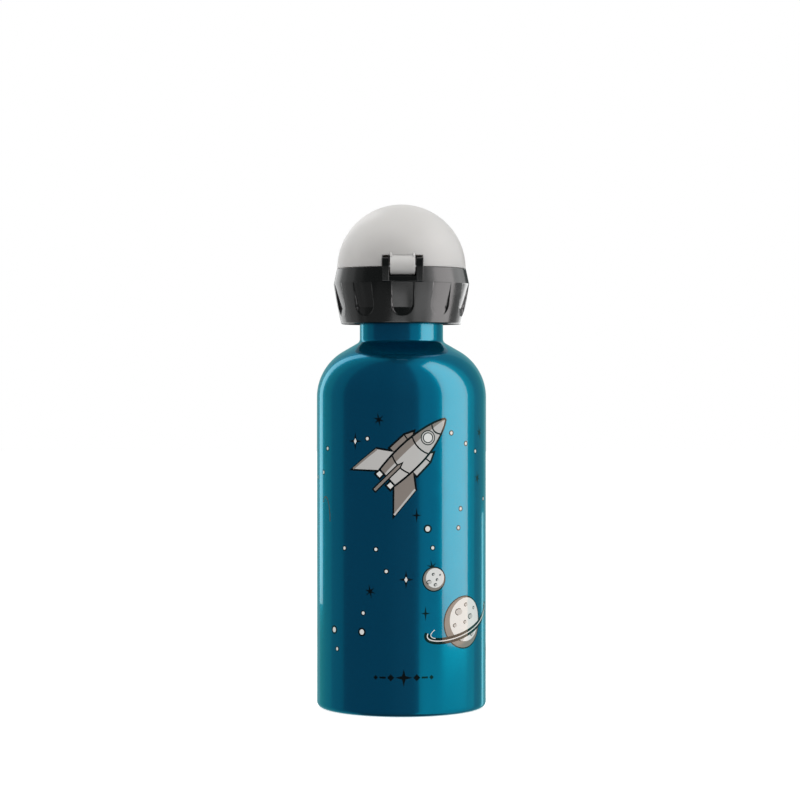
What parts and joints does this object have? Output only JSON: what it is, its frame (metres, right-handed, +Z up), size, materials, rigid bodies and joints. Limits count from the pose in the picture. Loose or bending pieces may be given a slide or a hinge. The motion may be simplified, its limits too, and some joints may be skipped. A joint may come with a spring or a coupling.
{
  "type": "kids water bottle",
  "caption": "Slim metal drinking bottle with a screw cap: a scalloped grip collar, a push-pull spout and a frosted dome that flips open on a hinge.",
  "frame": {"origin": "centre of the base, on the surface the bottle stands on", "axes": "+Z up along the bottle's axis; the dome's hinge faces -Y; +X is to the right seen from the hinge side"},
  "size_m": [0.064, 0.064, 0.1898],
  "materials": {
    "bottle_paint": null,
    "dark_plastic": "satin-gloss moulded plastic",
    "frosted_plastic": "frosted, slightly translucent moulded plastic",
    "silicone": "soft matte silicone",
    "black_rubber": "matte rubber",
    "pin_steel": "ground stainless steel"
  },
  "bodies": {
    "bottle": {"bottle_shell": "bottle_paint"},
    "seal": {"neck_gasket": "silicone"},
    "cap": {"cap_core": "dark_plastic", "grip_collar": "dark_plastic", "hinge_pin": "pin_steel", "valve_stem": "dark_plastic", "stem_seal": "silicone", "tower_o_ring": "black_rubber", "vent_valve": "silicone"},
    "spout": {"mouthpiece": "frosted_plastic", "bite_tip": "silicone"},
    "dome": {"dome_cover": "frosted_plastic"}
  },
  "joints": [
    {"name": "cap_rise", "type": "slide", "parent": "bottle", "child": "seal", "axis": [0, 0, 1], "range_m": [0, 0.00601]},
    {"name": "cap_turn", "type": "hinge", "parent": "seal", "child": "cap", "pos_m": [0, 0, 0.1548], "axis": [0, 0, 1], "range_deg": [0, 540]},
    {"name": "dome_hinge", "type": "hinge", "parent": "cap", "child": "dome", "pos_m": [0, -0.0234, 0.1658], "axis": [1, 0, 0], "range_deg": [0, 110]},
    {"name": "spout_pull", "type": "slide", "parent": "cap", "child": "spout", "axis": [0, 0, 1], "range_m": [0, 0.0055]}
  ],
  "couplings": [
    {"joint": "cap_rise", "follows": "cap_turn", "m_per_rad": 0.00063662}
  ]
}
